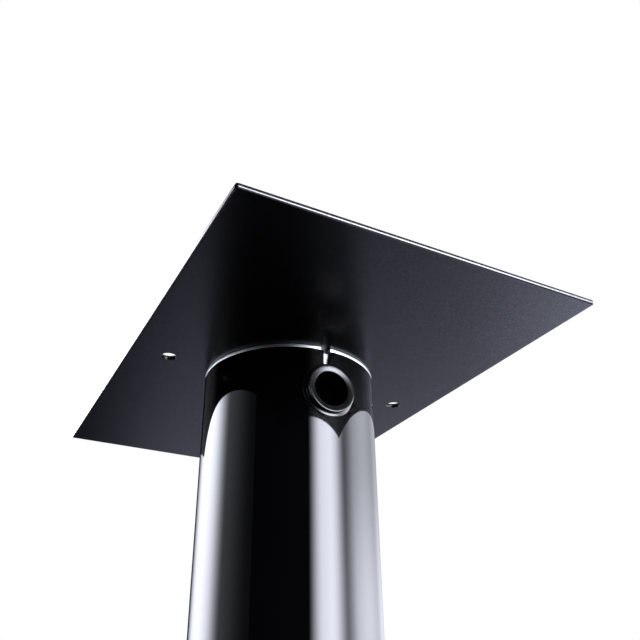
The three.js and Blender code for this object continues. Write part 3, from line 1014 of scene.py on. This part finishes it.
# %% Give every piece its material
FINISHES = {
    "satin_black": satin_black, "gloss_black": gloss_black, "bright_aluminium": bright_aluminium,
    "black_rubber": black_rubber, "zinc_steel": zinc_steel, "black_screw": black_turned_steel,
    "black_steel": black_turned_steel, "felt": felt,
}
slot_of = {part["node"]: part["material_slot"] for part in frame["record"]["subparts"]}


def dress(piece, slot):
    piece.data.materials.clear()
    piece.data.materials.append(FINISHES[slot])


for node_name, node in frame["nodes"].items():
    dress(node, slot_of[node_name])
for piece in [o for o in bpy.data.objects if o.type == "MESH" and "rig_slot" in o]:
    dress(piece, piece["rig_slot"])

# %% [markdown]
# ## The studio
#
# Gloss black has no colour of its own to show: it shows the room. The room here is a white cloth behind
# the stand, a tall soft light on the left, a strip light and a wide screen on the right, and darkness
# behind the camera. It is drawn on the world's sky as panels: each one spans some headings and is soft
# at its edges. The camera itself sees plain white.

# %% Soft panels on the sky
def panel(graph, heading, start, end, soft_start, soft_end, strength):
    """A panel between two headings in degrees from +Y towards +X, fading over a soft edge each side."""
    rise = graph.fit(heading, start - soft_start, start, smooth=True)
    fall = graph.fit(heading, end, end + soft_end, 1.0, 0.0, smooth=True)
    return rise * fall * strength


def direction(graph, coordinates):
    """Heading in degrees and height of the unit vector towards a point of the sky."""
    spot = graph.node("ShaderNodeTexCoord", output=coordinates)
    unit = graph.node("ShaderNodeVectorMath", {"operation": "NORMALIZE"}, {0: spot})
    axes = graph.node("ShaderNodeSeparateXYZ", None, {"Vector": unit}).socket.node.outputs
    x, y, z = (Wave(graph.tree, axis) for axis in axes)
    return x.math("ARCTAN2", x, y) * (180 / math.pi), z


def lamps(graph, heading, rows):
    """The sum of several panels, each given as a row of numbers."""
    total = panel(graph, heading, *rows[0])
    for row in rows[1:]:
        total = total + panel(graph, heading, *row)
    return total


# Rows are: first and last heading, how soft each end is, all in degrees, and the radiance. Heights
# are those of unit vectors, so 0 is the horizon and 0.5 is 30 degrees up.
SCREEN_ROWS = ((108, 112, 42, 20, 7.6), (68, 150, 45, 20, 3.2))
STRIP_ROWS = ((153, 163, 23, 18, 19.0),)
CLOTH_ROWS = ((18, 60, 9, 20, 0.37), (58, 70, 18, 30, 1.35))
LEFT_ROWS = ((-47, -44, 26, 50, 10.5), (-60, -44, 50, 50, 1.0), (-111, -90, 1.5, 30, 0.08))
LOWER_EDGE, LOW_GLOW, DARK_ROOM = (-0.34, -0.12), 0.035, 0.014
SCREEN_TOP, STRIP_TOP, LEFT_TOP = (0.45, 0.6), (0.42, 0.56), (0.424, 0.436)


def between(graph, z, top_start, top_end):
    """1 between the lower edge and the top, fading at both. A little glow is left below."""
    rise = graph.fit(z, *LOWER_EDGE, LOW_GLOW, 1.0, smooth=True)
    return rise * graph.fit(z, top_start, top_end, 1.0, 0.0, smooth=True)


def sky_light(graph):
    """Radiance of the right screen, which dims upward, and of the strip light beside it."""
    heading, z = direction(graph, "Generated")
    screen = lamps(graph, heading, SCREEN_ROWS) * graph.fit(z, 0.12, 0.36, 1.0, 0.5, smooth=True)
    strip = lamps(graph, heading, STRIP_ROWS)
    return screen * between(graph, z, *SCREEN_TOP) + strip * between(graph, z, *STRIP_TOP)


def cloth_light(graph):
    """Radiance of the dim cloth below the horizon, and of the dark room all round."""
    heading, z = direction(graph, "Generated")
    return lamps(graph, heading, CLOTH_ROWS) * graph.fit(z, -0.10, 0.0, 1.0, 0.0, smooth=True) + DARK_ROOM


def left_light(graph):
    """Radiance of the tall light on the left: a bright panel, and a dim tail with one hard edge."""
    heading, z = direction(graph, "Object")
    return lamps(graph, heading, LEFT_ROWS) * between(graph, z, *LEFT_TOP)


# %% The world
STUDIO_WHITE, CLOTH_BLUE = (0.86, 0.885, 1.0, 1), (0.72, 0.75, 1.0, 1)
world = bpy.data.worlds.new("studio")
bpy.context.scene.world = world
world.use_nodes = True
sky = Graph(world.node_tree)
seen = sky.node("ShaderNodeLightPath", output="Is Camera Ray")
bright = sky.node("ShaderNodeBackground", None, {"Color": STUDIO_WHITE, "Strength": sky_light(sky)})
dim = sky.node("ShaderNodeBackground", None, {"Color": CLOTH_BLUE, "Strength": cloth_light(sky)})
lit = sky.node("ShaderNodeAddShader", None, {0: bright, 1: dim})
plain = sky.node("ShaderNodeBackground", None, {"Color": (1, 1, 1, 1), "Strength": 1.0})
sky.node("ShaderNodeOutputWorld", None, {
    "Surface": sky.node("ShaderNodeMixShader", None, {0: seen, 1: lit, 2: plain})
})
bpy.context.scene.view_settings.view_transform = "Standard"
print("sky drawn with", len(world.node_tree.nodes), "nodes")

# %% [markdown]
# Two lights are curved walls, far away, so that light linking can aim them. The left light leaves the
# top plate out: seen from above, the plate would mirror it and go white, which a studio stops with a
# black flag. The edge light does the opposite. It reaches the top plate alone, and draws the
# bright line along its edge. The walls are clear where they don't glow, so the sky shows through.

# %% Lights that choose their pieces
WALL_DISTANCE, WALL_COLUMNS = 80.0, 40
WALL_FOOT, WALL_TOP = -3.0, 0.8  # heights, in wall distances
EDGE_RIGHT_ROWS, EDGE_LEFT_ROWS = ((140, 172, 24, 8, 20.0),), ((-30, -8, 14, 10, 10.0),)


def edge_light(graph):
    """Radiance of the light over the right strip, and of a dimmer one at the far left."""
    heading, z = direction(graph, "Object")
    right = lamps(graph, heading, EDGE_RIGHT_ROWS) * graph.fit(z, 0.46, 0.54, 1.0, 0.0, smooth=True)
    left = lamps(graph, heading, EDGE_LEFT_ROWS) * graph.fit(z, 0.56, 0.63, 1.0, 0.0, smooth=True)
    right = right * graph.fit(z, 0.02, 0.14, 1.3 * LOW_GLOW, 1.0, smooth=True)
    return right + left * graph.fit(z, -0.22, 0.0, LOW_GLOW, 1.0, smooth=True)


def light_wall(name, start, end, radiance, piece, link_state):
    """A wall between two headings that gives light to every piece but one, or to one piece only."""
    heading = np.radians(np.linspace(start, end, WALL_COLUMNS))[None]
    height = np.array((WALL_FOOT, WALL_TOP))[:, None]
    points = WALL_DISTANCE * np.stack(np.broadcast_arrays(np.sin(heading), np.cos(heading), height), -1)
    wall = new_piece(name, [(points, grid_faces(2, WALL_COLUMNS, closed_columns=False), np.zeros(1))])

    def glow(graph):
        light = graph.node("ShaderNodeEmission", None, {"Color": STUDIO_WHITE, "Strength": radiance(graph)})
        clear = graph.node("ShaderNodeBsdfTransparent")
        return graph.node("ShaderNodeAddShader", None, {0: light, 1: clear})

    wall.data.materials.append(material_of(name, glow))
    wall.visible_camera = False
    linked = bpy.data.collections.new(name + "_links")
    linked.objects.link(piece)
    linked.collection_objects[0].light_linking.link_state = link_state
    wall.light_linking.receiver_collection = linked


light_wall("left_light", -115, 12, left_light, top_plate, "EXCLUDE")
light_wall("edge_light", -50, 185, edge_light, top_plate, "INCLUDE")

# %% The floor
FLOOR_HALF, FLOOR_FADE = 40.0, (0.7, 3.0)


def fading_paper(graph):
    """Matt off-white paper with a barely visible tooth. Far from the stand it goes over into white."""
    tooth = graph.noise(1.5 * MM, 3)
    paper = graph.node("ShaderNodeBsdfPrincipled", None, {
        "Base Color": graph.blend(tooth, (0.78, 0.78, 0.78, 1), (0.84, 0.84, 0.84, 1)), "Roughness": 0.9,
        "Normal": graph.bump(tooth, 0.05 * MM, 0.3),
    })
    spot = graph.node("ShaderNodeTexCoord", output="Object")
    distance = graph.node("ShaderNodeVectorMath", {"operation": "LENGTH"}, {0: spot}, output="Value")
    white = graph.node("ShaderNodeEmission", None, {"Color": (1, 1, 1, 1), "Strength": 1.0})
    share = graph.fit(distance, *FLOOR_FADE, smooth=True)
    return graph.node("ShaderNodeMixShader", None, {0: share, 1: paper, 2: white})


half = np.array((-FLOOR_HALF, FLOOR_HALF))
floor_points = np.stack(np.broadcast_arrays(half[None], half[:, None], 0.0), -1)
floor = new_piece("studio_floor", [(floor_points, grid_faces(2, 2, closed_columns=False), np.zeros(1))])
floor.data.materials.append(material_of("floor_paper", fading_paper))
floor.visible_glossy = False
floor.visible_diffuse = False
